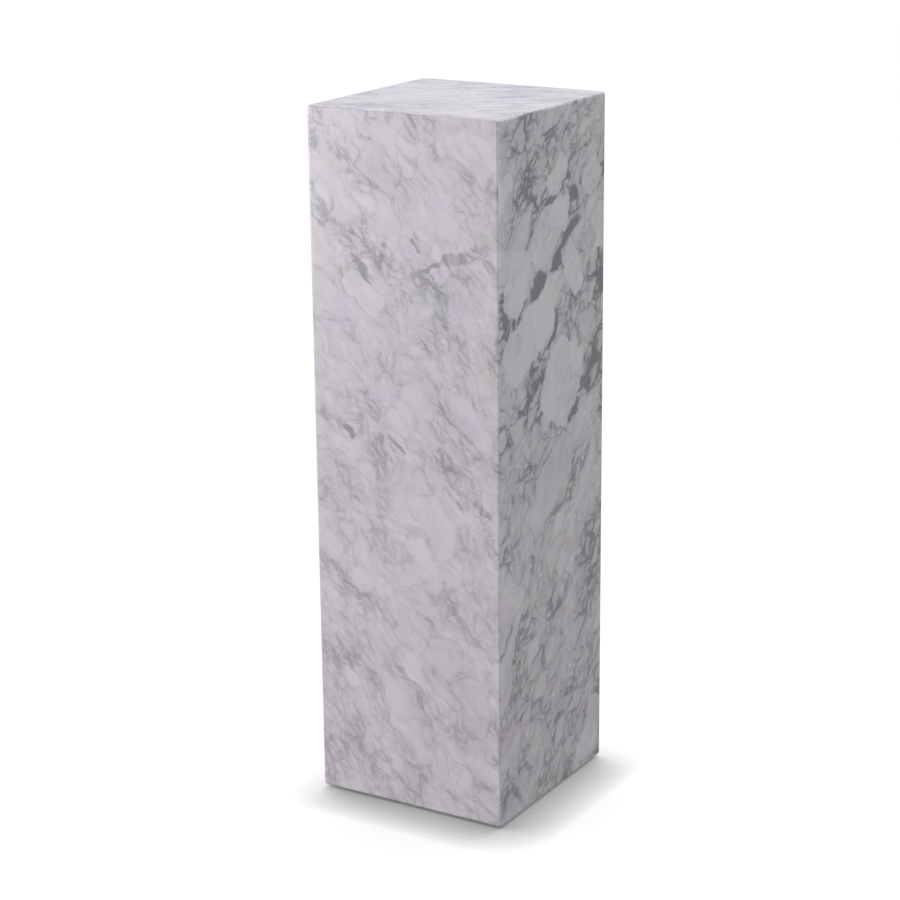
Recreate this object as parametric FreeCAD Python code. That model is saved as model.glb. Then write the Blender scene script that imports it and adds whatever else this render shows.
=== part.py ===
# A square pedestal column. Five mitred marble panels are bonded over a plywood carcass
# that stands on four felt glides.
#
# Frame: millimetres, +Z up, origin on the floor at the middle of the base.
# The front is -Y and the right side is +X.
import FreeCAD, Part
import math
import os

# ---- Driving dimensions -------------------------------------------------------------
# Marble
WIDTH = 300.0  # over the stone, X
DEPTH = 300.0  # over the stone, Y
STONE_HEIGHT = 1000.0  # lower edge of the side panels to the top
STONE = 10.0  # thickness of every panel
ARRIS_RADIUS = 4.0  # easing of every outer edge
FLOOR_GAP = 3.0  # shadow gap between the floor and the stone

# Plywood carcass
BOARD = 18.0  # upright boards, base board and sub-top
BASE_SETBACK = 3.0  # underside of the base board above the lower edge of the stone
REBATE_DEPTH = 9.0  # cut into the front and back boards for the side boards
BRACE = 12.0  # thickness of the two braces
HOUSING_DEPTH = 6.0  # groove across each board that holds a brace
BRACE_SPACING = 360.0  # between the middles of the two braces
BATTEN = 28.0  # square corner batten
BATTEN_CHAMFER = 8.0  # along the batten's free edge
NOTCH_CLEARANCE = 0.5  # between a brace and a batten

# Countersunk wood screws, drawn at their core diameter and with flat sides
SCREW_SIDES = 8
SCREW_HEAD = 8.0
SCREW_CORE = 4.0
SCREW_POINT = 5.0  # length of the tapered point
SCREW_TIP = 0.8  # diameter left at the end of the point
CARCASS_SCREW_LENGTH = 40.0  # board into batten
END_SCREW_LENGTH = 45.0  # base board or sub-top into the end of a board
GLIDE_SCREW_LENGTH = 30.0  # glide and base board into batten
SCREW_ROWS = 3  # rows of carcass screws up each corner
SCREW_ROW_MARGIN = 70.0  # first and last row from the ends of the boards
SCREW_STAGGER = 20.0  # height between the two screws that share a batten
END_SCREW_OFFSET = 60.0  # each side of the middle of a board

# Felt glides
GLIDE_DIAMETER = 36.0
GLIDE_WALL = 2.0  # rim of the cup
GLIDE_FLOOR = 2.0  # floor of the cup, against the base board
GLIDE_RIM_LIFT = 2.0  # lower edge of the rim above the floor
FELT_CLEARANCE = 0.3  # between the felt and the rim

# ---- Sizes that follow --------------------------------------------------------------
STONE_BOTTOM = FLOOR_GAP
STONE_TOP = STONE_BOTTOM + STONE_HEIGHT
CORE_WIDTH = WIDTH - 2 * STONE
CORE_DEPTH = DEPTH - 2 * STONE
CORE_BOTTOM = STONE_BOTTOM + BASE_SETBACK
CORE_TOP = STONE_TOP - STONE
BOARD_BOTTOM = CORE_BOTTOM + BOARD
BOARD_TOP = CORE_TOP - BOARD
INNER_WIDTH = CORE_WIDTH - 2 * BOARD
INNER_DEPTH = CORE_DEPTH - 2 * BOARD
BATTEN_X = (INNER_WIDTH - BATTEN) / 2
BATTEN_Y = (INNER_DEPTH - BATTEN) / 2
GLIDE_SEAT = CORE_BOTTOM - GLIDE_FLOOR
SPARE = STONE  # left on the outside of each slab until it is cut back to the eased outside

ORIGIN = FreeCAD.Vector(0, 0, 0)
X_AXIS = FreeCAD.Vector(1, 0, 0)
Y_AXIS = FreeCAD.Vector(0, 1, 0)
Z_AXIS = FreeCAD.Vector(0, 0, 1)

# The signs of X and Y in each corner
CORNERS = {
    "front_left": (-1, -1),
    "front_right": (1, -1),
    "back_left": (-1, 1),
    "back_right": (1, 1),
}


# ---- Small helpers ------------------------------------------------------------------
def box_between(low, high):
    """A box between two opposite corners given as (x, y, z)."""
    size = [upper - lower for lower, upper in zip(low, high)]
    return Part.makeBox(*size, FreeCAD.Vector(*low))


def centred_box(width, depth, bottom, top):
    """A box about the Z axis between two heights."""
    return box_between((-width / 2, -depth / 2, bottom), (width / 2, depth / 2, top))


def turned(shape, degrees):
    """A copy of a shape turned about the column's axis."""
    copy = shape.copy()
    copy.rotate(ORIGIN, Z_AXIS, degrees)
    return copy


def to_corner(shape, side_x, side_y):
    """A shape modelled in the back right corner, mirrored into the corner with these signs."""
    if side_x < 0:
        shape = shape.mirror(ORIGIN, X_AXIS)
    if side_y < 0:
        shape = shape.mirror(ORIGIN, Y_AXIS)
    return shape


def aimed(shape, point, direction):
    """A shape modelled up +Z from the origin, set at a point and aimed along a direction."""
    copy = shape.copy()
    copy.Placement = FreeCAD.Placement(FreeCAD.Vector(*point), FreeCAD.Rotation(Z_AXIS, direction))
    return copy


def flat_face(corners):
    """A flat face inside a ring of points given as (x, y, z)."""
    points = [FreeCAD.Vector(*corner) for corner in corners]
    return Part.Face(Part.makePolygon(points + points[:1]))


def flat_sided(profile):
    """A solid about Z: regular polygons at each (radius, height), joined by flat sides."""
    angles = [2 * math.pi * i / SCREW_SIDES for i in range(SCREW_SIDES)]
    rings = []
    for radius, height in profile:
        rings.append([(radius * math.cos(a), radius * math.sin(a), height) for a in angles])
    faces = [flat_face(rings[0]), flat_face(rings[-1])]
    for lower, upper in zip(rings, rings[1:]):
        for i in range(SCREW_SIDES):
            faces.append(flat_face([lower[i - 1], lower[i], upper[i], upper[i - 1]]))
    skin = Part.makeCompound(faces)
    skin.sewShape()
    return Part.Solid(skin)


# ---- Marble panels ------------------------------------------------------------------
def side_slab(span, reach):
    """The front slab, mitred up both sides and along the top, for a face `reach` from the axis.

    It stands SPARE proud of that face and of the foot.
    """
    face_x = span / 2 + SPARE
    back_x = span / 2 - STONE
    foot = STONE_BOTTOM - SPARE
    return Part.makeWedge(
        -face_x, -reach - SPARE, foot, foot, -back_x,
        face_x, -reach + STONE, STONE_TOP + SPARE, CORE_TOP, back_x,
    )


def top_slab():
    """The top slab, mitred along all four edges. It is drawn upright, then laid face up.

    It stands SPARE proud of the top.
    """
    face_x = WIDTH / 2 + SPARE
    face_y = DEPTH / 2 + SPARE
    back_x = WIDTH / 2 - STONE
    back_y = DEPTH / 2 - STONE
    slab = Part.makeWedge(
        -face_x, -SPARE, -face_y, -back_y, -back_x,
        face_x, STONE, face_y, back_y, back_x,
    )
    slab.rotate(ORIGIN, X_AXIS, -90)
    return slab.translated(Z_AXIS * STONE_TOP)


def eased_block():
    """The outside of the whole column as one block with every edge rounded."""
    block = centred_box(WIDTH, DEPTH, STONE_BOTTOM, STONE_TOP)
    return block.makeFillet(ARRIS_RADIUS, block.Edges).Solids[0]


def marble_panels():
    """The five panels, each cut back to the eased outside that they share once bonded."""
    slabs = {
        "marble_front": side_slab(WIDTH, DEPTH / 2),
        "marble_right": turned(side_slab(DEPTH, WIDTH / 2), 90),
        "marble_back": turned(side_slab(WIDTH, DEPTH / 2), 180),
        "marble_left": turned(side_slab(DEPTH, WIDTH / 2), 270),
        "marble_top": top_slab(),
    }
    outside = eased_block()
    return {name: slab.common(outside) for name, slab in slabs.items()}


# ---- Screws -------------------------------------------------------------------------
def countersunk_screw(length):
    """A countersunk screw up +Z, the flat of its head at the origin."""
    head = SCREW_HEAD / 2
    core = SCREW_CORE / 2
    return flat_sided(
        [
            (head, 0),
            (core, head - core),
            (core, length - SCREW_POINT),
            (SCREW_TIP / 2, length),
        ]
    )


def carcass_screws():
    """Rows of screws up each corner, through the boards and into the battens."""
    screw = countersunk_screw(CARCASS_SCREW_LENGTH)
    lowest = BOARD_BOTTOM + SCREW_ROW_MARGIN
    highest = BOARD_TOP - SCREW_ROW_MARGIN
    pitch = (highest - lowest) / (SCREW_ROWS - 1)
    screws = []
    for side_x, side_y in CORNERS.values():
        for row in range(SCREW_ROWS):
            height = lowest + row * pitch
            in_face = (side_x * BATTEN_X, side_y * CORE_DEPTH / 2, height)
            in_side = (side_x * CORE_WIDTH / 2, side_y * BATTEN_Y, height + SCREW_STAGGER)
            screws.append(aimed(screw, in_face, Y_AXIS * -side_y))
            screws.append(aimed(screw, in_side, X_AXIS * -side_x))
    return screws


def end_screws(height, direction):
    """Two screws into the end of each upright board, with their heads at one height."""
    screw = countersunk_screw(END_SCREW_LENGTH)
    board_x = (CORE_WIDTH - BOARD) / 2
    board_y = (CORE_DEPTH - BOARD) / 2
    screws = []
    for side in (-1, 1):
        for offset in (-END_SCREW_OFFSET, END_SCREW_OFFSET):
            screws.append(aimed(screw, (offset, side * board_y, height), direction))
            screws.append(aimed(screw, (side * board_x, offset, height), direction))
    return screws


def glide_screws():
    """A screw up through each glide and the base board into a batten."""
    screw = countersunk_screw(GLIDE_SCREW_LENGTH)
    return [aimed(screw, glide_place(*signs) + (GLIDE_SEAT,), Z_AXIS) for signs in CORNERS.values()]


# ---- Plywood carcass ----------------------------------------------------------------
def brace_heights():
    """The middle height of each brace."""
    middle = (BOARD_BOTTOM + BOARD_TOP) / 2
    return {
        "brace_lower": middle - BRACE_SPACING / 2,
        "brace_upper": middle + BRACE_SPACING / 2,
    }


def brace(height):
    """A brace let into all four boards, its corners notched round the battens."""
    bottom = height - BRACE / 2
    top = height + BRACE / 2
    half_width = INNER_WIDTH / 2 + HOUSING_DEPTH
    half_depth = INNER_DEPTH / 2 + HOUSING_DEPTH
    plate = centred_box(2 * half_width, 2 * half_depth, bottom, top)
    notch_x = INNER_WIDTH / 2 - BATTEN - NOTCH_CLEARANCE
    notch_y = INNER_DEPTH / 2 - BATTEN - NOTCH_CLEARANCE
    notch = box_between((notch_x, notch_y, bottom), (half_width, half_depth, top))
    return plate.cut([to_corner(notch, *signs) for signs in CORNERS.values()])


def front_board():
    """The front board: rebated up both edges, with a housing across it for each brace."""
    half_width = CORE_WIDTH / 2
    outside = -CORE_DEPTH / 2
    inside = outside + BOARD
    board = box_between((-half_width, outside, BOARD_BOTTOM), (half_width, inside, BOARD_TOP))
    rebate = box_between(
        (INNER_WIDTH / 2, inside - REBATE_DEPTH, BOARD_BOTTOM),
        (half_width, inside, BOARD_TOP),
    )
    cuts = [rebate, rebate.mirror(ORIGIN, X_AXIS)]
    for height in brace_heights().values():
        cuts.append(
            box_between(
                (-half_width, inside - HOUSING_DEPTH, height - BRACE / 2),
                (half_width, inside, height + BRACE / 2),
            )
        )
    return board.cut(cuts)


def right_board():
    """The right board: its edges fill the rebates, with a housing across it for each brace."""
    inside = INNER_WIDTH / 2
    half_depth = INNER_DEPTH / 2 + REBATE_DEPTH
    board = box_between(
        (inside, -half_depth, BOARD_BOTTOM),
        (CORE_WIDTH / 2, half_depth, BOARD_TOP),
    )
    housings = []
    for height in brace_heights().values():
        housings.append(
            box_between(
                (inside, -half_depth, height - BRACE / 2),
                (inside + HOUSING_DEPTH, half_depth, height + BRACE / 2),
            )
        )
    return board.cut(housings)


def upright_boards():
    """The four boards before they are drilled."""
    return {
        "carcass_front": front_board(),
        "carcass_back": turned(front_board(), 180),
        "carcass_right": right_board(),
        "carcass_left": turned(right_board(), 180),
    }


def batten():
    """The back right batten, with its free edge chamfered."""
    stick = box_between(
        (INNER_WIDTH / 2 - BATTEN, INNER_DEPTH / 2 - BATTEN, BOARD_BOTTOM),
        (INNER_WIDTH / 2, INNER_DEPTH / 2, BOARD_TOP),
    )
    free_edge = min(stick.Edges, key=lambda edge: edge.CenterOfMass.x + edge.CenterOfMass.y)
    return stick.makeChamfer(BATTEN_CHAMFER, [free_edge])


# ---- Felt glides --------------------------------------------------------------------
def glide_place(side_x, side_y):
    """The middle of a glide in plan: under the middle of its batten."""
    return (side_x * BATTEN_X, side_y * BATTEN_Y)


def glide_cup():
    """A shallow cup about the Z axis, open downwards."""
    radius = GLIDE_DIAMETER / 2
    rim = FreeCAD.Vector(0, 0, GLIDE_RIM_LIFT)
    cup = Part.makeCylinder(radius, CORE_BOTTOM - GLIDE_RIM_LIFT, rim)
    return cup.cut(Part.makeCylinder(radius - GLIDE_WALL, GLIDE_SEAT))


def glide_felt():
    """A felt disc about the Z axis, from the floor up to the floor of its cup."""
    radius = GLIDE_DIAMETER / 2 - GLIDE_WALL - FELT_CLEARANCE
    return Part.makeCylinder(radius, GLIDE_SEAT)


# ---- The whole column ---------------------------------------------------------------
def build():
    """Every node by name. Each screw cuts its own hole in what it goes through."""
    into_battens = carcass_screws()
    from_below = end_screws(CORE_BOTTOM, Z_AXIS)
    from_above = end_screws(CORE_TOP, Z_AXIS * -1)
    into_glides = glide_screws()

    nodes = marble_panels()
    for name, board in upright_boards().items():
        nodes[name] = board.cut(into_battens + from_below + from_above)
    for name, height in brace_heights().items():
        nodes[name] = brace(height)

    base = centred_box(CORE_WIDTH, CORE_DEPTH, CORE_BOTTOM, BOARD_BOTTOM)
    nodes["base_board"] = base.cut(from_below + into_glides)
    head = centred_box(CORE_WIDTH, CORE_DEPTH, BOARD_TOP, CORE_TOP)
    nodes["sub_top"] = head.cut(from_above)

    for corner, signs in CORNERS.items():
        place = FreeCAD.Vector(*glide_place(*signs), 0)
        stick = to_corner(batten(), *signs)
        nodes["batten_" + corner] = stick.cut(into_battens + into_glides)
        nodes["glide_cup_" + corner] = glide_cup().translated(place).cut(into_glides)
        nodes["glide_felt_" + corner] = glide_felt().translated(place)

    nodes["carcass_screws"] = Part.makeCompound(into_battens)
    nodes["base_screws"] = Part.makeCompound(from_below)
    nodes["sub_top_screws"] = Part.makeCompound(from_above)
    nodes["glide_screws"] = Part.makeCompound(into_glides)
    return nodes


def main():
    """Write one file per node."""
    os.makedirs("parts", exist_ok=True)
    for name, shape in sorted(build().items()):
        shape.exportStep(os.path.join("parts", name + ".step"))
        volume = shape.Volume / 1000
        print(f"{name}: {len(shape.Solids)} solid(s), {volume:.1f} cm3, valid {shape.isValid()}")


main()
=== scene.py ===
"""The looks of a square pedestal column clad in marble, dressed over its packed construction.

Everything is in metres in the part's own frame: +Z up, the origin on the floor at the middle
of the base, the front at -Y and the right side at +X.
"""

import logging
import math
from dataclasses import dataclass, field
from enum import Enum
from typing import Tuple, Union

import bpy
from mathutils import Matrix, Vector


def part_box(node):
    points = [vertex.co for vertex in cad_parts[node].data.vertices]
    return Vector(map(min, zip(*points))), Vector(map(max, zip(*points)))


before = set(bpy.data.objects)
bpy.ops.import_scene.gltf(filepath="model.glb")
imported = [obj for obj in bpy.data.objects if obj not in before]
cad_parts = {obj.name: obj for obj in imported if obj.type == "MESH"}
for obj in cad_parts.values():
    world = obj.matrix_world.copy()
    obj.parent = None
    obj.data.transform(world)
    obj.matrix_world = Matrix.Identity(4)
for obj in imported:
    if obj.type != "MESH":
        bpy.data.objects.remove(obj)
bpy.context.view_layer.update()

LOG = logging.getLogger("pedestal")
MM = 0.001
MIX_FIRST, MIX_SECOND, MIX_RESULT = 6, 7, 2  # the Mix node's colour sockets, whose names repeat
EVEN = (0.5, 0.5, 0.5)  # what a noise's colour wanders about
MOST = (0.3, 0.7)  # the range that most of a noise lies in
THROUGH = 100.0  # a scale at which a patch runs right through its slab

Colour = Tuple[float, float, float]
Triple = Tuple[float, float, float]
Pair = Tuple[float, float]
Value = Union[float, bpy.types.NodeSocket]


class Side(Enum):
    """A face of the column, by the turn about Z that brings it round to the front."""

    FRONT = 0.0
    RIGHT = -90.0
    BACK = -180.0
    LEFT = -270.0
    TOP = None


class Axis(Enum):
    """An axis of the frame, by its place in a point."""

    X = 0
    Y = 1
    Z = 2


# ---- Writing materials --------------------------------------------------------------
class NodeSheet:
    """One material's nodes, with a short method for each kind that the finishes use."""

    def __init__(self, name: str) -> None:
        """Start an empty material.

        Args:
            name: What the material is called.
        """
        self.material = bpy.data.materials.new(name)
        self.material.use_nodes = True
        self.tree = self.material.node_tree
        self.tree.nodes.clear()
        self.output = self.tree.nodes.new("ShaderNodeOutputMaterial")

    def add(self, kind: str, **settings: object) -> bpy.types.Node:
        """Add a node and set its properties.

        Args:
            kind: The node's type, without ShaderNode in front.
            **settings: Properties of the node by name.

        Returns:
            The new node.
        """
        node = self.tree.nodes.new("ShaderNode" + kind)
        for name, value in settings.items():
            setattr(node, name, value)
        return node

    def feed(self, socket: bpy.types.NodeSocket, value: object) -> None:
        """Link a socket to another one, or set it to a plain value.

        Args:
            socket: The input to fill.
            value: An output socket, a number, a point or a colour.
        """
        if isinstance(value, bpy.types.NodeSocket):
            self.tree.links.new(value, socket)
        elif socket.type == "RGBA" and len(value) == 3:
            socket.default_value = (*value, 1.0)
        else:
            socket.default_value = value

    def place(self) -> bpy.types.NodeSocket:
        """The point on the piece, which sits at the origin, so that this is also the frame's."""
        return self.add("TexCoord").outputs["Object"]

    def parts(self, point: Value) -> bpy.types.bpy_prop_collection:
        """A point or a colour taken apart.

        Args:
            point: The point or colour.

        Returns:
            Its three numbers, as sockets.
        """
        node = self.add("SeparateXYZ")
        self.feed(node.inputs[0], point)
        return node.outputs

    def turned(self, point: Value, turn: Matrix) -> bpy.types.NodeSocket:
        """A point turned about the origin.

        Args:
            point: The point.
            turn: The rotation.

        Returns:
            The moved point.
        """
        node = self.add("Mapping", vector_type="POINT")
        self.feed(node.inputs["Vector"], point)
        node.inputs["Rotation"].default_value = turn.to_euler("XYZ")
        return node.outputs["Vector"]

    def math(self, operation: str, *values: Value) -> bpy.types.NodeSocket:
        """The result of a sum on numbers.

        Args:
            operation: The Math node's operation.
            *values: Its one to three inputs.

        Returns:
            The result.
        """
        node = self.add("Math", operation=operation)
        for socket, value in zip(node.inputs, values):
            self.feed(socket, value)
        return node.outputs[0]

    def vector(self, operation: str, *values: object) -> bpy.types.NodeSocket:
        """The result of a sum on points.

        Args:
            operation: The Vector Math node's operation.
            *values: Its inputs, the last of which is a number where it is a scale.

        Returns:
            The result, which is a number for a length or a dot product.
        """
        node = self.add("VectorMath", operation=operation)
        if operation == "SCALE":
            self.feed(node.inputs[0], values[0])
            self.feed(node.inputs["Scale"], values[1])
        else:
            for socket, value in zip(node.inputs, values):
                self.feed(socket, value)
        return node.outputs["Value" if operation in ("LENGTH", "DOT_PRODUCT") else "Vector"]

    def noise(self, point: Value, size: float, detail: float = 3.0, rough: float = 0.5) -> bpy.types.Node:
        """Cloudy noise.

        Args:
            point: Where it is read.
            size: How far apart its clouds are, in the point's own units.
            detail: How many finer layers lie over them.
            rough: How strong those are.

        Returns:
            The node, for its Fac and Color.
        """
        node = self.add("TexNoise", noise_dimensions="3D")
        self.feed(node.inputs["Vector"], point)
        node.inputs["Scale"].default_value = 1 / size
        node.inputs["Detail"].default_value = detail
        node.inputs["Roughness"].default_value = rough
        return node

    def cells(self, point: Value, feature: str = "F1") -> bpy.types.Node:
        """Irregular cells about one unit apart in the face, each running straight into its depth.

        Args:
            point: Where they are read.
            feature: F1 for each cell's own colour, or DISTANCE_TO_EDGE.

        Returns:
            The node, for its Color or Distance.
        """
        node = self.add("TexVoronoi", voronoi_dimensions="2D", feature=feature)
        self.feed(node.inputs["Vector"], point)
        node.inputs["Scale"].default_value = 1.0
        node.inputs["Randomness"].default_value = 1.0
        return node

    def ease(
        self, value: Value, low: Value, high: Value, start: Value = 0.0, end: Value = 1.0
    ) -> bpy.types.NodeSocket:
        """A number carried smoothly from one range to another and held at its ends.

        Args:
            value: The number.
            low: Where the first range begins.
            high: Where it ends, which may be below its beginning.
            start: The result at its beginning.
            end: The result at its end.

        Returns:
            The eased number.
        """
        node = self.add("MapRange", interpolation_type="SMOOTHSTEP", clamp=True)
        names = ("Value", "From Min", "From Max", "To Min", "To Max")
        for name, item in zip(names, (value, low, high, start, end)):
            self.feed(node.inputs[name], item)
        return node.outputs["Result"]

    def mix(self, share: Value, first: object, second: object) -> bpy.types.NodeSocket:
        """One colour carried towards another.

        Args:
            share: How far, from 0 to 1.
            first: The colour at 0.
            second: The colour at 1.

        Returns:
            The mixed colour.
        """
        node = self.add("Mix", data_type="RGBA", clamp_factor=True)
        self.feed(node.inputs["Factor"], share)
        self.feed(node.inputs[MIX_FIRST], first)
        self.feed(node.inputs[MIX_SECOND], second)
        return node.outputs[MIX_RESULT]

    def bump(self, height: Value, depth: float) -> bpy.types.NodeSocket:
        """A surface normal tilted by a height.

        Args:
            height: From 0 to 1 over the surface.
            depth: What 1 stands for, in metres.

        Returns:
            The tilted normal.
        """
        node = self.add("Bump")
        node.inputs["Distance"].default_value = depth
        self.feed(node.inputs["Height"], height)
        return node.outputs["Normal"]

    def matt(self, grey: float) -> bpy.types.NodeSocket:
        """A plain matt shader.

        Args:
            grey: How light it is.

        Returns:
            The shader.
        """
        node = self.add("BsdfDiffuse")
        self.feed(node.inputs["Color"], (grey, grey, grey))
        return node.outputs[0]

    def pick(self, share: Value, first: Value, second: Value) -> bpy.types.NodeSocket:
        """One shader or another.

        Args:
            share: 0 for the first and 1 for the second.
            first: The shader at 0.
            second: The shader at 1.

        Returns:
            The shader that is picked.
        """
        node = self.add("MixShader")
        for socket, item in zip(node.inputs, (share, first, second)):
            self.feed(socket, item)
        return node.outputs[0]

    def surface(self, colour: Value, rough: Value, normal: Value, **plain: float) -> bpy.types.Material:
        """Close the sheet with its surface.

        Args:
            colour: The base colour.
            rough: The roughness.
            normal: The tilted normal.
            **plain: Other inputs by name, with _ for a space, each the same all over.

        Returns:
            The finished material.
        """
        shader = self.add("BsdfPrincipled")
        self.feed(shader.inputs["Base Color"], colour)
        self.feed(shader.inputs["Roughness"], rough)
        self.feed(shader.inputs["Normal"], normal)
        for name, value in plain.items():
            shader.inputs[name.replace("_", " ")].default_value = value
        self.feed(self.output.inputs["Surface"], shader.outputs[0])
        return self.material


# ---- Finishes -----------------------------------------------------------------------
def facing(side: Side) -> Matrix:
    """The turn that lays a face of the column flat to the reader.

    Args:
        side: The face.

    Returns:
        The rotation to right, up and out of that face.
    """
    if side is Side.TOP:
        return Matrix.Identity(3)
    return Matrix.Rotation(math.radians(-90), 3, "X") @ Matrix.Rotation(math.radians(side.value), 3, "Z")


@dataclass(frozen=True)
class Wave:
    """A noise that carries a pattern about, so that nothing in it is straight."""

    size: float  # from one swell to the next, in metres
    layers: float
    reach: float  # how far it carries a point, in metres


@dataclass(frozen=True)
class Cloud:
    """A colour that comes and goes over the pale stone."""

    colour: Colour
    size: float  # in metres
    swell: Pair  # the noise at which it begins and is full
    most: float  # how far it then covers the stone


@dataclass(frozen=True)
class Clasts:
    """One size of clast in the stone."""

    length: float  # along the lay, in metres
    share: float  # how many are whole. The rest of the room keeps the next smaller size


@dataclass(frozen=True)
class Patch:
    """A clast or a stain at a chosen place on its face, between an ellipse and a rectangle."""

    right: float  # millimetres from the face's middle
    up: float  # millimetres from the floor, or back from the middle of the top
    length: float
    width: float
    turn: float  # degrees anticlockwise from the face's right to its long axis
    push: float  # how far it makes the mottling darker, or below 0 how far it clears it


@dataclass(frozen=True)
class Marble:
    """Honed brecciated marble: smooth pale clasts in a mottled matrix, drawn out along one lay."""

    name: str
    side: Side
    lay: float  # degrees anticlockwise from the face's right to the clasts' long axis
    shift: Triple  # where in the quarry block the slab is cut, in metres
    sizes: Tuple[Clasts, ...] = (Clasts(0.024, 1.0), Clasts(0.044, 0.4), Clasts(0.085, 0.2))
    slender: float = 2.0  # a clast's length over its width
    rim: float = 6.0 * MM  # from a clast's edge to its clear middle
    most_rim: float = 0.34  # the most of a clast's width that this may be
    seam: float = 1.2 * MM  # how softly one size of clast gives way to another
    pull: float = 0.074  # how far a clast clears its middle and darkens its rim
    cloud: float = 0.042  # the coarsest mottling, across the lay
    layers: float = 6.0  # how many layers of mottling there are
    rugged: float = 0.72  # how strong each finer one is beside the one before
    middle: float = 0.575  # the mottling that is half dark
    rise: Pair = (0.32, 0.62)  # the heights where the foot's look ends and the head's begins
    blur: Pair = (0.42, 0.32)  # how softly the mottling darkens, at the foot and the head
    depth: Pair = (0.74, 0.80)  # how dark it gets there
    veil: float = 0.36  # how grey the soft mottling is that lies under it
    veiled: Pair = (-0.28, 0.12)  # where that begins and is full, from the middle
    tone: float = 0.10  # how far clasts differ in their own grey
    cool: float = 0.35  # how blue its clouds are
    tinted: Pair = (0.35, 1.0)  # how plainly all tints show, at the foot and the head
    tint_rise: Pair = (0.25, 0.75)  # the heights where that changes
    apart: Triple = (3.0, 1.7, 2.3)  # how far apart in the block the clouds are read, in metres
    bends: Tuple[Wave, ...] = (Wave(0.045, 2.0, 0.026), Wave(0.012, 3.0, 0.009))
    sweep: Tuple[Wave, ...] = (Wave(0.20, 2.0, 0.070),)  # carries the clasts, but not the patches
    wave_rough: float = 0.55
    patches: Tuple[Patch, ...] = ()
    stained: Pair = (1.25, 0.55)  # where a stain begins and is full, in its own radii
    ringed: Pair = (1.35, 1.04)  # where the ring round a chosen clast does
    ring_share: float = 0.21  # how dark that ring is beside how clear the clast is
    fade: float = 0.028  # how softly the clast clears within it. A fainter one is softer
    grain: float = 1.4 * MM
    speck: float = 0.04  # how far the grain lightens and darkens the stone
    relief: float = 0.02 * MM
    gloss: Pair = (0.30, 0.44)  # the roughness of a clear clast and of a dark vein
    pale: Colour = (0.652, 0.603, 0.655)
    grey: Colour = (0.205, 0.196, 0.215)
    blue: Colour = (0.540, 0.530, 0.690)
    pink: Colour = (0.640, 0.545, 0.590)
    green: Colour = (0.560, 0.570, 0.545)

    def material(self) -> bpy.types.Material:
        """The stone as nodes.

        Returns:
            The material.
        """
        sheet = NodeSheet("marble_" + self.name)
        face = sheet.turned(sheet.place(), facing(self.side))
        cut = sheet.vector("ADD", face, self.shift)
        bent = self._carried(sheet, cut, face, self.bends)
        swept = self._carried(sheet, cut, sheet.vector("ADD", bent, self.shift), self.sweep)
        laid = sheet.turned(swept, Matrix.Rotation(math.radians(-self.lay), 3, "Z"))
        mottle, tone = self._mottle(sheet, laid)
        for patch in self.patches:
            mottle = sheet.math("ADD", mottle, self._patch(sheet, bent, patch))
        height = sheet.parts(sheet.place())[Axis.Z.value]
        dark = self._dark(sheet, mottle, height)
        base = sheet.mix(tone, self._tint(sheet, cut, height), self.grey)
        grain = sheet.noise(cut, self.grain, 2.0, 0.6).outputs["Fac"]
        speck = sheet.ease(grain, 0.2, 0.8, -self.speck, self.speck)
        colour = sheet.mix(sheet.math("ADD", dark, speck), base, self.grey)
        rough = sheet.ease(sheet.math("ADD", grain, dark), 0.2, 1.4, *self.gloss)
        return sheet.surface(colour, rough, sheet.bump(grain, self.relief), IOR=1.5)

    def _dark(self, sheet: NodeSheet, mottle: Value, height: Value) -> bpy.types.NodeSocket:
        """How dark the stone is, from its veins and the soft mottling under them.

        Args:
            sheet: The material.
            mottle: The mottling.
            height: The height above the floor.

        Returns:
            The darkness, from 0 to 1.
        """
        blur = sheet.ease(height, *self.rise, *self.blur)
        low = sheet.math("SUBTRACT", self.middle, sheet.math("MULTIPLY", blur, 0.5))
        veins = sheet.ease(mottle, low, sheet.math("ADD", low, blur))
        veins = sheet.math("MULTIPLY", veins, sheet.ease(height, *self.rise, *self.depth))
        begins, full = self.veiled
        veil = sheet.ease(mottle, self.middle + begins, self.middle + full)
        return sheet.math("MAXIMUM", veins, sheet.math("MULTIPLY", veil, self.veil))

    def _carried(
        self, sheet: NodeSheet, cut: Value, point: Value, waves: Tuple[Wave, ...]
    ) -> bpy.types.NodeSocket:
        """A point carried about by noise.

        Args:
            sheet: The material.
            cut: The point in the quarry block, where the noise is read.
            point: The point that is moved.
            waves: The noises, one after another.

        Returns:
            The moved point.
        """
        for wave in waves:
            noise = sheet.noise(cut, wave.size, wave.layers, self.wave_rough).outputs["Color"]
            drift = sheet.vector("SUBTRACT", noise, EVEN)
            point = sheet.vector("ADD", point, sheet.vector("SCALE", drift, wave.reach))
        return point

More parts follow.
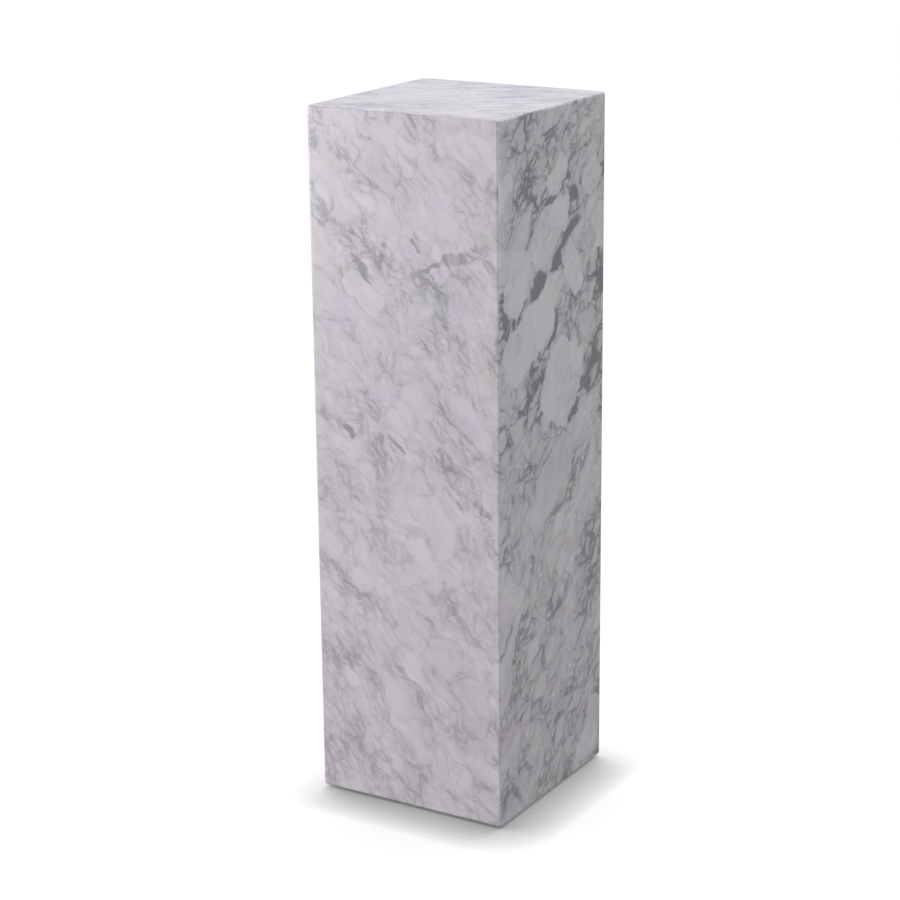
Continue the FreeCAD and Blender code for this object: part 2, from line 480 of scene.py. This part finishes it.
    def _mottle(self, sheet: NodeSheet, laid: Value) -> Tuple[Value, Value]:
        """The mottling, cleared in the middle of each clast and gathered round its rim.

        Args:
            sheet: The material.
            laid: The point along the lay.

        Returns:
            The mottling, and how grey the clasts are themselves.
        """
        drawn = sheet.vector("MULTIPLY", laid, (1 / self.slender, 1.0, 1.0))
        mottle = sheet.noise(drawn, self.cloud, self.layers, self.rugged).outputs["Fac"]
        pull = 0.0
        tone = 0.0
        for size in self.sizes:
            across = size.length / self.slender
            point = sheet.vector("MULTIPLY", laid, (1 / size.length, 1 / across, 1.0))
            inward = sheet.cells(point, "DISTANCE_TO_EDGE").outputs["Distance"]
            chance, shade, _ = sheet.parts(sheet.cells(point).outputs["Color"])
            whole = sheet.math("LESS_THAN", chance, size.share)
            here = sheet.math("MULTIPLY", whole, sheet.ease(inward, 0.0, self.seam / across))
            rim = min(self.rim / across, self.most_rim)
            ring = sheet.ease(inward, 0.0, rim, self.pull, -self.pull)
            pull = self._towards(sheet, pull, ring, here)
            tone = self._towards(sheet, tone, sheet.math("MULTIPLY", shade, self.tone), here)
        return sheet.math("ADD", mottle, pull), tone

    def _towards(self, sheet: NodeSheet, first: Value, second: Value, share: Value) -> bpy.types.NodeSocket:
        """A number carried towards another.

        Args:
            sheet: The material.
            first: The number at 0.
            second: The number at 1.
            share: How far it is carried.

        Returns:
            The number between them.
        """
        return sheet.math("MULTIPLY_ADD", sheet.math("SUBTRACT", second, first), share, first)

    def _patch(self, sheet: NodeSheet, bent: Value, patch: Patch) -> bpy.types.NodeSocket:
        """What a chosen clast or stain adds to the mottling.

        Args:
            sheet: The material.
            bent: The wandering point in the face.
            patch: The clast or stain.

        Returns:
            The addition, which is nothing away from the patch.
        """
        node = sheet.add("Mapping", vector_type="TEXTURE")
        sheet.feed(node.inputs["Vector"], bent)
        node.inputs["Location"].default_value = (patch.right * MM, patch.up * MM, 0.0)
        node.inputs["Rotation"].default_value = (0.0, 0.0, math.radians(patch.turn))
        node.inputs["Scale"].default_value = (patch.length * MM / 2, patch.width * MM / 2, THROUGH)
        square = sheet.vector("MULTIPLY", node.outputs["Vector"], node.outputs["Vector"])
        radius = sheet.math("POWER", sheet.vector("DOT_PRODUCT", square, square), 0.25)
        if patch.push > 0:
            return sheet.ease(radius, *self.stained, 0.0, patch.push)
        dark = -self.ring_share * patch.push
        ring = sheet.ease(radius, *self.ringed, 0.0, dark)
        edge = self.ringed[1]
        inner = edge + self.fade / patch.push
        return sheet.math("ADD", ring, sheet.ease(radius, edge, inner, 0.0, patch.push - dark))

    def _tint(self, sheet: NodeSheet, cut: Value, height: Value) -> bpy.types.NodeSocket:
        """The clasts' colour, clouded with blue, pink and a little green.

        Args:
            sheet: The material.
            cut: The point in the quarry block.
            height: The height above the floor.

        Returns:
            The colour.
        """
        tint = self.pale
        plain = sheet.ease(height, *self.tint_rise, *self.tinted)
        clouds = (
            Cloud(self.blue, 0.085, (0.50, 0.70), self.cool),
            Cloud(self.pink, 0.022, (0.56, 0.72), 0.7),
            Cloud(self.green, 0.070, (0.55, 0.74), 0.6),
        )
        for place, cloud in enumerate(clouds):
            apart = sheet.vector("ADD", cut, tuple(part * place for part in self.apart))
            noise = sheet.noise(apart, cloud.size, 4.0, 0.6).outputs["Fac"]
            cover = sheet.ease(noise, *cloud.swell, 0.0, cloud.most)
            tint = sheet.mix(sheet.math("MULTIPLY", cover, plain), tint, cloud.colour)
        return tint


@dataclass(frozen=True)
class Plywood:
    """Birch plywood as a solid: thin plies, each crossing the next, with glue between them."""

    name: str
    across: Axis  # through the thickness
    along: Axis  # the face veneer's grain
    start: float  # where the first face lies, in metres
    thickness: float
    plies: int
    drawn: float = 14.0  # how far the grain is drawn out along itself
    figure: float = 0.011  # the size of the veneer's figure, in metres
    fibre: float = 0.0011
    pore: float = 0.0016  # the size of the end grain's pores
    relief: float = 0.08 * MM
    gloss: Pair = (0.52, 0.66)  # the roughness of light and of deep veneer
    light: Colour = (0.720, 0.565, 0.385)
    deep: Colour = (0.560, 0.395, 0.230)
    end: Colour = (0.430, 0.285, 0.160)
    glue: Colour = (0.170, 0.095, 0.050)

    def material(self) -> bpy.types.Material:
        """The board as nodes.

        Returns:
            The material.
        """
        sheet = NodeSheet("plywood_" + self.name)
        point = sheet.place()
        depth = sheet.math("SUBTRACT", sheet.parts(point)[self.across.value], self.start)
        ply = sheet.math("DIVIDE", depth, self.thickness / self.plies)
        number = sheet.math("FLOOR", sheet.math("MAXIMUM", ply, 0.01))
        crossed = sheet.math("FLOORED_MODULO", number, 2.0)
        line = sheet.math("ABSOLUTE", sheet.math("SUBTRACT", sheet.math("FRACT", ply), 0.5))
        glue = sheet.math("MULTIPLY", sheet.ease(line, 0.44, 0.5), sheet.ease(ply, 0.5, 0.9))

        stretch = [1.0, 1.0, 1.0]
        stretch[self.along.value] = 1 / self.drawn
        wide = sheet.vector("MULTIPLY", point, tuple(stretch))
        fine = sheet.vector("MULTIPLY", point, tuple(part * part for part in stretch))
        fibre = sheet.noise(fine, self.fibre, 2.0).outputs["Fac"]
        figure = sheet.ease(sheet.noise(wide, self.figure, 4.0, 0.55).outputs["Fac"], 0.36, 0.66)
        veneer = sheet.mix(figure, self.light, self.deep)
        veneer = sheet.mix(sheet.ease(fibre, 0.5, 0.8, 0.0, 0.45), veneer, self.end)
        pores = sheet.noise(point, self.pore, 3.0).outputs["Fac"]
        cross = sheet.mix(sheet.ease(pores, *MOST), self.deep, self.end)
        colour = sheet.mix(glue, sheet.mix(crossed, veneer, cross), self.glue)
        rough = sheet.ease(figure, 0.0, 1.0, *self.gloss)
        return sheet.surface(colour, rough, sheet.bump(fibre, self.relief))


@dataclass(frozen=True)
class Softwood:
    """Planed softwood cut from beside the pith, so that rings cross its ends and run up its sides."""

    name: str
    pith: Triple  # a point on the line through the tree's middle, in metres
    ring: float = 3.2 * MM
    sway: Wave = Wave(0.03, 2.0, 0.006)  # how the rings wander
    along: Pair = (0.12, 0.02)  # how slowly the sway and the fibres change up the trunk
    fibre: float = 0.0009
    relief: float = 0.06 * MM
    gloss: Pair = (0.62, 0.50)  # the roughness of early and of late wood
    early: Colour = (0.760, 0.590, 0.360)
    late: Colour = (0.500, 0.300, 0.130)

    def material(self) -> bpy.types.Material:
        """The timber as nodes.

        Returns:
            The material.
        """
        sheet = NodeSheet("softwood_" + self.name)
        point = sheet.place()
        slow, slower = self.along
        swayed = sheet.vector("MULTIPLY", point, (1, 1, slow))
        swayed = sheet.noise(swayed, self.sway.size, self.sway.layers).outputs["Color"]
        swayed = sheet.vector("SCALE", sheet.vector("SUBTRACT", swayed, EVEN), self.sway.reach)
        swayed = sheet.vector("ADD", point, swayed)
        from_pith = sheet.vector("MULTIPLY", sheet.vector("SUBTRACT", swayed, self.pith), (1, 1, 0))
        rings = sheet.math("FRACT", sheet.math("DIVIDE", sheet.vector("LENGTH", from_pith), self.ring))
        late = sheet.math("MULTIPLY", sheet.ease(rings, 0.35, 0.92), sheet.ease(rings, 1.0, 0.94))
        fibre = sheet.vector("MULTIPLY", point, (1, 1, slower))
        fibre = sheet.noise(fibre, self.fibre, 2.0).outputs["Fac"]
        colour = sheet.mix(late, self.early, self.late)
        colour = sheet.mix(sheet.ease(fibre, 0.5, 0.8, 0.0, 0.35), colour, self.late)
        rough = sheet.ease(late, 0.0, 1.0, *self.gloss)
        return sheet.surface(colour, rough, sheet.bump(fibre, self.relief))


@dataclass(frozen=True)
class MouldedPlastic:
    """Matt black plastic with a fine spark-eroded grain."""

    name: str = "cup_plastic"
    grain: float = 0.35 * MM
    relief: float = 0.03 * MM
    scuff: float = 6 * MM  # how far apart scuffed places are
    gloss: Pair = (0.46, 0.62)  # the roughness of clean and of scuffed plastic
    black: Colour = (0.020, 0.020, 0.022)
    scuffed: Colour = (0.060, 0.060, 0.064)

    def material(self) -> bpy.types.Material:
        """The plastic as nodes.

        Returns:
            The material.
        """
        sheet = NodeSheet(self.name)
        point = sheet.place()
        grain = sheet.noise(point, self.grain, 2.0).outputs["Fac"]
        scuff = sheet.noise(point, self.scuff, 4.0, 0.6).outputs["Fac"]
        colour = sheet.mix(sheet.ease(scuff, 0.45, 0.8), self.black, self.scuffed)
        return sheet.surface(colour, sheet.ease(scuff, *MOST, *self.gloss), sheet.bump(grain, self.relief))


@dataclass(frozen=True)
class Felt:
    """Dense pressed wool felt, with fibres lying every way in its face."""

    name: str = "wool_felt"
    tangle: Wave = Wave(0.5 * MM, 5.0, 1.2 * MM)  # how the fibres wander
    fibre: float = 0.45 * MM  # from one fibre to the next
    clump: float = 4 * MM
    relief: float = 0.15 * MM
    sheen: float = 0.25
    gloss: Pair = (0.88, 0.98)  # the roughness of dark and of light clumps
    dark: Colour = (0.060, 0.060, 0.064)
    light: Colour = (0.150, 0.150, 0.155)

    def material(self) -> bpy.types.Material:
        """The felt as nodes.

        Returns:
            The material.
        """
        sheet = NodeSheet(self.name)
        point = sheet.place()
        tangle = sheet.noise(point, self.tangle.size, self.tangle.layers, 0.7).outputs["Color"]
        bent = sheet.vector("ADD", point, sheet.vector("SCALE", tangle, self.tangle.reach))
        fibres = sheet.cells(sheet.vector("SCALE", bent, 1 / self.fibre), "DISTANCE_TO_EDGE")
        height = sheet.ease(fibres.outputs["Distance"], 0.0, 0.3)
        clump = sheet.noise(point, self.clump, 3.0).outputs["Fac"]
        # The colour darkens where the fibres' height is low: painted shade between the fibres, over the
        # clumps' own mottling.
        shade = sheet.math("MULTIPLY", height, sheet.ease(clump, *MOST, 0.5, 1.0))
        colour = sheet.mix(shade, self.dark, self.light)
        rough = sheet.ease(clump, *MOST, *self.gloss)
        return sheet.surface(colour, rough, sheet.bump(height, self.relief), Sheen_Weight=self.sheen)


@dataclass(frozen=True)
class ZincSteel:
    """Zinc-plated steel, faintly yellowed and mottled by the plating bath."""

    name: str = "zinc_steel"
    mottle: float = 1.8 * MM
    scratch: float = 0.2 * MM
    drawn: float = 0.1  # how slowly the scratches change along Z
    relief: float = 0.01 * MM
    gloss: Pair = (0.26, 0.42)  # the roughness of bright and of dull plating
    bright: Colour = (0.660, 0.655, 0.630)
    dull: Colour = (0.470, 0.455, 0.410)

    def material(self) -> bpy.types.Material:
        """The plating as nodes.

        Returns:
            The material.
        """
        sheet = NodeSheet(self.name)
        point = sheet.place()
        mottle = sheet.noise(point, self.mottle, 4.0, 0.6).outputs["Fac"]
        scratch = sheet.vector("MULTIPLY", point, (1, 1, self.drawn))
        scratch = sheet.noise(scratch, self.scratch, 2.0).outputs["Fac"]
        colour = sheet.mix(sheet.ease(mottle, 0.35, 0.7), self.bright, self.dull)
        rough = sheet.ease(mottle, *MOST, *self.gloss)
        return sheet.surface(colour, rough, sheet.bump(scratch, self.relief), Metallic=1.0)


# ---- Studio -------------------------------------------------------------------------
@dataclass(frozen=True)
class Lamp:
    """A soft square lamp."""

    name: str
    place: Triple
    aim: Triple  # the point it faces
    size: float  # its side, in metres
    watts: float

    def hang(self) -> None:
        """Put the lamp in its place."""
        data = bpy.data.lights.new(self.name, "AREA")
        data.shape = "SQUARE"
        data.size = self.size
        data.energy = self.watts
        lamp = bpy.data.objects.new(self.name, data)
        bpy.context.scene.collection.objects.link(lamp)
        lamp.location = self.place
        lamp.rotation_mode = "QUATERNION"
        lamp.rotation_quaternion = (Vector(self.aim) - Vector(self.place)).to_track_quat("-Z", "Y")


@dataclass(frozen=True)
class PaintedShadow:
    """A part of the column's shadow on the floor, painted into the floor's emission from ambient occlusion.
    """

    reach: float  # how far off the column still keeps light away, in metres
    towards: Triple  # where most of that light comes from
    power: float  # how fast it fades with distance
    most: float  # how dark it gets
    rays: int = 8

    def depth(self, sheet: NodeSheet) -> bpy.types.NodeSocket:
        """How much painted shadow darkens the floor's emission.

        Args:
            sheet: The floor's material.

        Returns:
            The darkening, from 0 up.
        """
        near = sheet.add("AmbientOcclusion", samples=self.rays)
        near.inputs["Distance"].default_value = self.reach
        sheet.feed(near.inputs["Normal"], sheet.vector("NORMALIZE", self.towards))
        hidden = sheet.math("SUBTRACT", 1.0, near.outputs["AO"])
        return sheet.math("MULTIPLY", sheet.math("POWER", hidden, self.power), self.most)


@dataclass
class Studio:
    """The camera at the photograph's angle, a pale floor and soft light from above and the left."""

    azimuth: float = 0.5442  # radians round from the front
    elevation: float = 0.2900
    roll: float = -0.0098
    target: Triple = (-0.01875, 0.0, 0.4957)
    distance: float = 3.4569
    focal_pixels: float = 2406.4
    frame_pixels: float = 900.0
    sensor: float = 36.0  # millimetres
    sight: float = 100.0  # how far the camera sees, in metres
    floor_size: float = 60.0
    sky: float = 0.45
    paper: float = 0.06  # how much of the floor's white is lit by the lamps
    bounce: float = 0.16  # how light the floor is to the column
    # painted shadows of the column, darkening the floor's emission
    painted_shadows: Tuple[PaintedShadow, PaintedShadow] = (
        PaintedShadow(0.25, (-1.0, 1.2, 1.0), 2.0, 0.45),
        PaintedShadow(0.08, (-1.0, 1.0, 1.0), 0.75, 0.75),
    )
    lamps: Tuple[Lamp, ...] = (
        Lamp("key", (-3.4, -2.9, 0.88), (0.0, -0.1, 0.50), 1.6, 174.0),
        Lamp("overhead", (0.0, 0.9, 3.2), (0.0, 0.0, 1.0), 1.4, 34.0),
        Lamp("fill", (3.4, -0.4, 0.85), (0.1, 0.0, 0.6), 1.6, 46.5),
    )

    def build(self) -> None:
        """Make the camera, floor, world and lamps."""
        self._camera()
        self._floor()
        self._world()
        for lamp in self.lamps:
            lamp.hang()
        bpy.context.scene.view_settings.view_transform = "Standard"
        LOG.info("studio: camera, floor, world and %d lamps", len(self.lamps))

    def _camera(self) -> None:
        """Set the camera where the edges of the photographed column say it stood."""
        level = math.cos(self.elevation)
        across = math.sin(self.azimuth) * level
        forward = math.cos(self.azimuth) * level
        back = Vector((across, -forward, math.sin(self.elevation)))
        right = (-back).cross(Vector((0, 0, 1))).normalized()
        up = right.cross(-back)
        turn = Matrix.Rotation(self.roll, 3, "Z")
        axes = Matrix((right, up, back)).transposed() @ turn
        data = bpy.data.cameras.new("camera")
        data.sensor_width = self.sensor
        data.lens = self.focal_pixels * self.sensor / self.frame_pixels
        data.clip_end = self.sight
        camera = bpy.data.objects.new("camera", data)
        bpy.context.scene.collection.objects.link(camera)
        camera.matrix_world = Matrix.Translation(Vector(self.target) + back * self.distance) @ axes.to_4x4()
        bpy.context.scene.camera = camera

    def _floor(self) -> None:
        """Lay a white paper floor, clear from below, whose emission has a painted shadow and whose faint
        matt part a real one.
        """
        bpy.ops.mesh.primitive_plane_add(size=self.floor_size, location=(0, 0, 0))
        floor = bpy.context.object
        floor.name = "floor"
        sheet = NodeSheet("floor_paper")
        # Painted shadow: ambient occlusion near the column darkens the floor's emission.
        broad_painted_shadow, close_painted_shadow = (shade.depth(sheet) for shade in self.painted_shadows)
        glow_less_painted_shadow = sheet.math("SUBTRACT", 1.0, sheet.math("ADD", broad_painted_shadow, close_painted_shadow))
        light = sheet.add("Emission")
        sheet.feed(light.inputs["Strength"], sheet.math("MAXIMUM", glow_less_painted_shadow, 0.0))
        seen = sheet.add("AddShader")
        sheet.feed(seen.inputs[0], sheet.matt(self.paper))
        sheet.feed(seen.inputs[1], light.outputs[0])
        by_camera = sheet.add("LightPath").outputs["Is Camera Ray"]
        above = sheet.pick(by_camera, sheet.matt(self.bounce), seen.outputs[0])
        from_below = sheet.add("NewGeometry").outputs["Backfacing"]
        clear = sheet.add("BsdfTransparent").outputs[0]
        sheet.feed(sheet.output.inputs["Surface"], sheet.pick(from_below, above, clear))
        floor.data.materials.append(sheet.material)

    def _world(self) -> None:
        """Show white behind the column, and light it with a softer grey."""
        world = bpy.data.worlds.new("studio")
        bpy.context.scene.world = world
        world.use_nodes = True
        nodes = world.node_tree.nodes
        links = world.node_tree.links
        nodes.clear()
        output = nodes.new("ShaderNodeOutputWorld")
        path = nodes.new("ShaderNodeLightPath")
        seen = nodes.new("ShaderNodeBackground")
        soft = nodes.new("ShaderNodeBackground")
        soft.inputs["Strength"].default_value = self.sky
        pick = nodes.new("ShaderNodeMixShader")
        first = nodes.new("ShaderNodeMath")
        first.operation = "MAXIMUM"
        second = nodes.new("ShaderNodeMath")
        second.operation = "MAXIMUM"
        for node in (seen, soft):
            node.inputs["Color"].default_value = (1.0, 1.0, 1.0, 1.0)
        links.new(path.outputs["Is Camera Ray"], first.inputs[0])
        links.new(path.outputs["Is Glossy Ray"], first.inputs[1])
        links.new(first.outputs[0], second.inputs[0])
        links.new(path.outputs["Is Transmission Ray"], second.inputs[1])
        links.new(second.outputs[0], pick.inputs[0])
        links.new(soft.outputs[0], pick.inputs[1])
        links.new(seen.outputs[0], pick.inputs[2])
        links.new(pick.outputs[0], output.inputs["Surface"])


# ---- The column ---------------------------------------------------------------------
def dress(node: str, material: bpy.types.Material) -> None:
    """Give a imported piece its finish.

    Args:
        node: The piece's name.
        material: The finish.
    """
    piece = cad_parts[node]
    piece.data.materials.clear()
    piece.data.materials.append(material)
    LOG.info("%s: %s", node, material.name)


@dataclass
class MarbleShell:
    """The five panels that are seen. Each is cut from another part of the block, and the top's and the
    right side's stone carry painted light and shade in their colour.
    """

    slabs: Tuple[Marble, ...] = (
        Marble(
            "front",
            Side.FRONT,
            lay=-52.0,
            shift=(0.0, 0.0, 0.0),
            patches=(
                Patch(-64, 750, 74, 34, -40, -0.20),
                Patch(-74, 334, 44, 34, -36, -0.10),
                Patch(-100, 213, 38, 27, 57, 0.10),
                Patch(-66, 784, 46, 14, -46, 0.16),
                Patch(-28, 813, 52, 7, 78, 0.13),
                Patch(92, 819, 62, 18, 14, 0.17),
                Patch(48, 800, 44, 7, 34, 0.20),
                Patch(19, 827, 24, 6, -56, 0.18),
                Patch(-94, 554, 28, 9, -54, 0.20),
                Patch(-12, 542, 32, 9, -44, 0.22),
                Patch(79, 475, 54, 8, -35, 0.16),
                Patch(124, 467, 46, 9, -42, 0.18),
            ),
        ),
        Marble(
            "right",
            Side.RIGHT,
            lay=50.0,
            shift=(2.3, 0.4, 1.1),
            sizes=(Clasts(0.022, 1.0), Clasts(0.050, 0.4), Clasts(0.110, 0.3)),
            slender=1.9,
            pull=0.085,
            cloud=0.060,
            middle=0.54,
            blur=(0.24, 0.20),
            depth=(0.88, 1.0),
            veil=0.48,
            tone=0.16,
            cool=0.25,
            tinted=(1.5, 0.3),
            # This stone is darker and greyer than the front's, which paints part of this face's shade into
            # its colour.
            pale=(0.600, 0.585, 0.612),
            patches=(
                Patch(-16, 835, 112, 62, 42, -0.20),
                Patch(30, 852, 52, 24, 70, -0.20),
                Patch(53, 774, 94, 40, -58, -0.20),
                Patch(-102, 778, 93, 60, 68, -0.20),
                Patch(-71, 696, 149, 76, 30, -0.20),
                Patch(25, 614, 120, 105, 58, -0.20),
                Patch(10, 907, 64, 40, 38, -0.20),
                Patch(109, 893, 54, 42, 34, -0.20),
                Patch(139, 816, 73, 30, 84, -0.20),
                Patch(-128, 914, 36, 28, 30, -0.20),
                Patch(-44, 762, 46, 24, 44, 0.34),
                Patch(34, 812, 112, 22, 42, 0.26),
                Patch(-6, 876, 40, 12, 14, 0.30),
                Patch(58, 874, 26, 22, 29, 0.28),
                Patch(140, 736, 38, 20, -70, 0.20),
                Patch(-134, 725, 22, 18, 54, 0.26),
                Patch(-2, 688, 40, 9, 56, 0.30),
                Patch(112, 618, 82, 36, 80, 0.10),
                Patch(-66, 633, 44, 34, 25, 0.14),
                Patch(56, 563, 32, 24, 30, 0.22),
            ),
        ),
        Marble("back", Side.BACK, lay=-48.0, shift=(4.1, 1.7, 0.6)),
        Marble("left", Side.LEFT, lay=50.0, shift=(6.2, 0.9, 2.8), blur=(0.34, 0.24), depth=(0.6, 0.8)),
        Marble(
            "top",
            Side.TOP,
            lay=30.0,
            shift=(8.4, 3.3, 0.2),
            slender=3.4,
            pull=0.085,
            cloud=0.030,
            middle=0.53,
            blur=(0.34, 0.34),
            depth=(0.6, 0.6),
            veil=0.30,
            # The top's stone is lighter and bluer than the sides', which paints part of the light from
            # above into its colour.
            cool=0.6,
            pale=(0.680, 0.645, 0.735),
        ),
    )

    def dress(self) -> None:
        """Dress each panel in its own cut of the stone."""
        for slab in self.slabs:
            dress("marble_" + slab.name, slab.material())


@dataclass
class Carcass:
    """The plywood boards, braces and corner battens behind the stone."""

    board_plies: int = 13
    brace_plies: int = 9
    pith_left: float = 0.4  # how far left of a batten its tree's middle was, in batten widths
    pith_back: float = 0.7  # how far behind it

    def dress(self) -> None:
        """Dress every board along its own grain, and every batten from its own log."""
        for end in ("front", "back"):
            self._board("carcass_" + end, Axis.Y, Axis.Z, self.board_plies)
        for end in ("left", "right"):
            self._board("carcass_" + end, Axis.X, Axis.Z, self.board_plies)
        for name in ("base_board", "sub_top"):
            self._board(name, Axis.Z, Axis.X, self.board_plies)
        for name in ("brace_lower", "brace_upper"):
            self._board(name, Axis.Z, Axis.Y, self.brace_plies)
        for end in ("front", "back"):
            for hand in ("left", "right"):
                self._batten(f"batten_{end}_{hand}")

    def _board(self, node: str, across: Axis, along: Axis, plies: int) -> None:
        """Dress one board.

        Args:
            node: The board's name.
            across: The axis through its thickness.
            along: The axis of its face grain.
            plies: How many plies it has.
        """
        low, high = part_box(node)
        start = low[across.value]
        thickness = high[across.value] - start
        dress(node, Plywood(node, across, along, start, thickness, plies).material())

    def _batten(self, node: str) -> None:
        """Dress one batten.

        Args:
            node: The batten's name.
        """
        low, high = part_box(node)
        size = high - low
        pith = (low.x - self.pith_left * size.x, high.y + self.pith_back * size.y, 0.0)
        dress(node, Softwood(node, pith).material())


@dataclass
class Glides:
    """The four moulded cups and the felt pressed into them."""

    plastic: MouldedPlastic = field(default_factory=MouldedPlastic)
    felt: Felt = field(default_factory=Felt)

    def dress(self) -> None:
        """Dress the cups and the felts."""
        plastic = self.plastic.material()
        felt = self.felt.material()
        for end in ("front", "back"):
            for hand in ("left", "right"):
                dress(f"glide_cup_{end}_{hand}", plastic)
                dress(f"glide_felt_{end}_{hand}", felt)


@dataclass
class Screws:
    """The countersunk screws that hold the carcass and the glides."""

    steel: ZincSteel = field(default_factory=ZincSteel)

    def dress(self) -> None:
        """Dress every group of screws."""
        steel = self.steel.material()
        for node in ("carcass_screws", "base_screws", "sub_top_screws", "glide_screws"):
            dress(node, steel)


def main() -> None:
    """Build the studio and dress every piece."""
    logging.basicConfig(level=logging.INFO, format="%(name)s: %(message)s")
    bpy.ops.object.select_all(action="DESELECT")
    Studio().build()
    MarbleShell().dress()
    Carcass().dress()
    Glides().dress()
    Screws().dress()


if __name__ == "__main__":
    main()
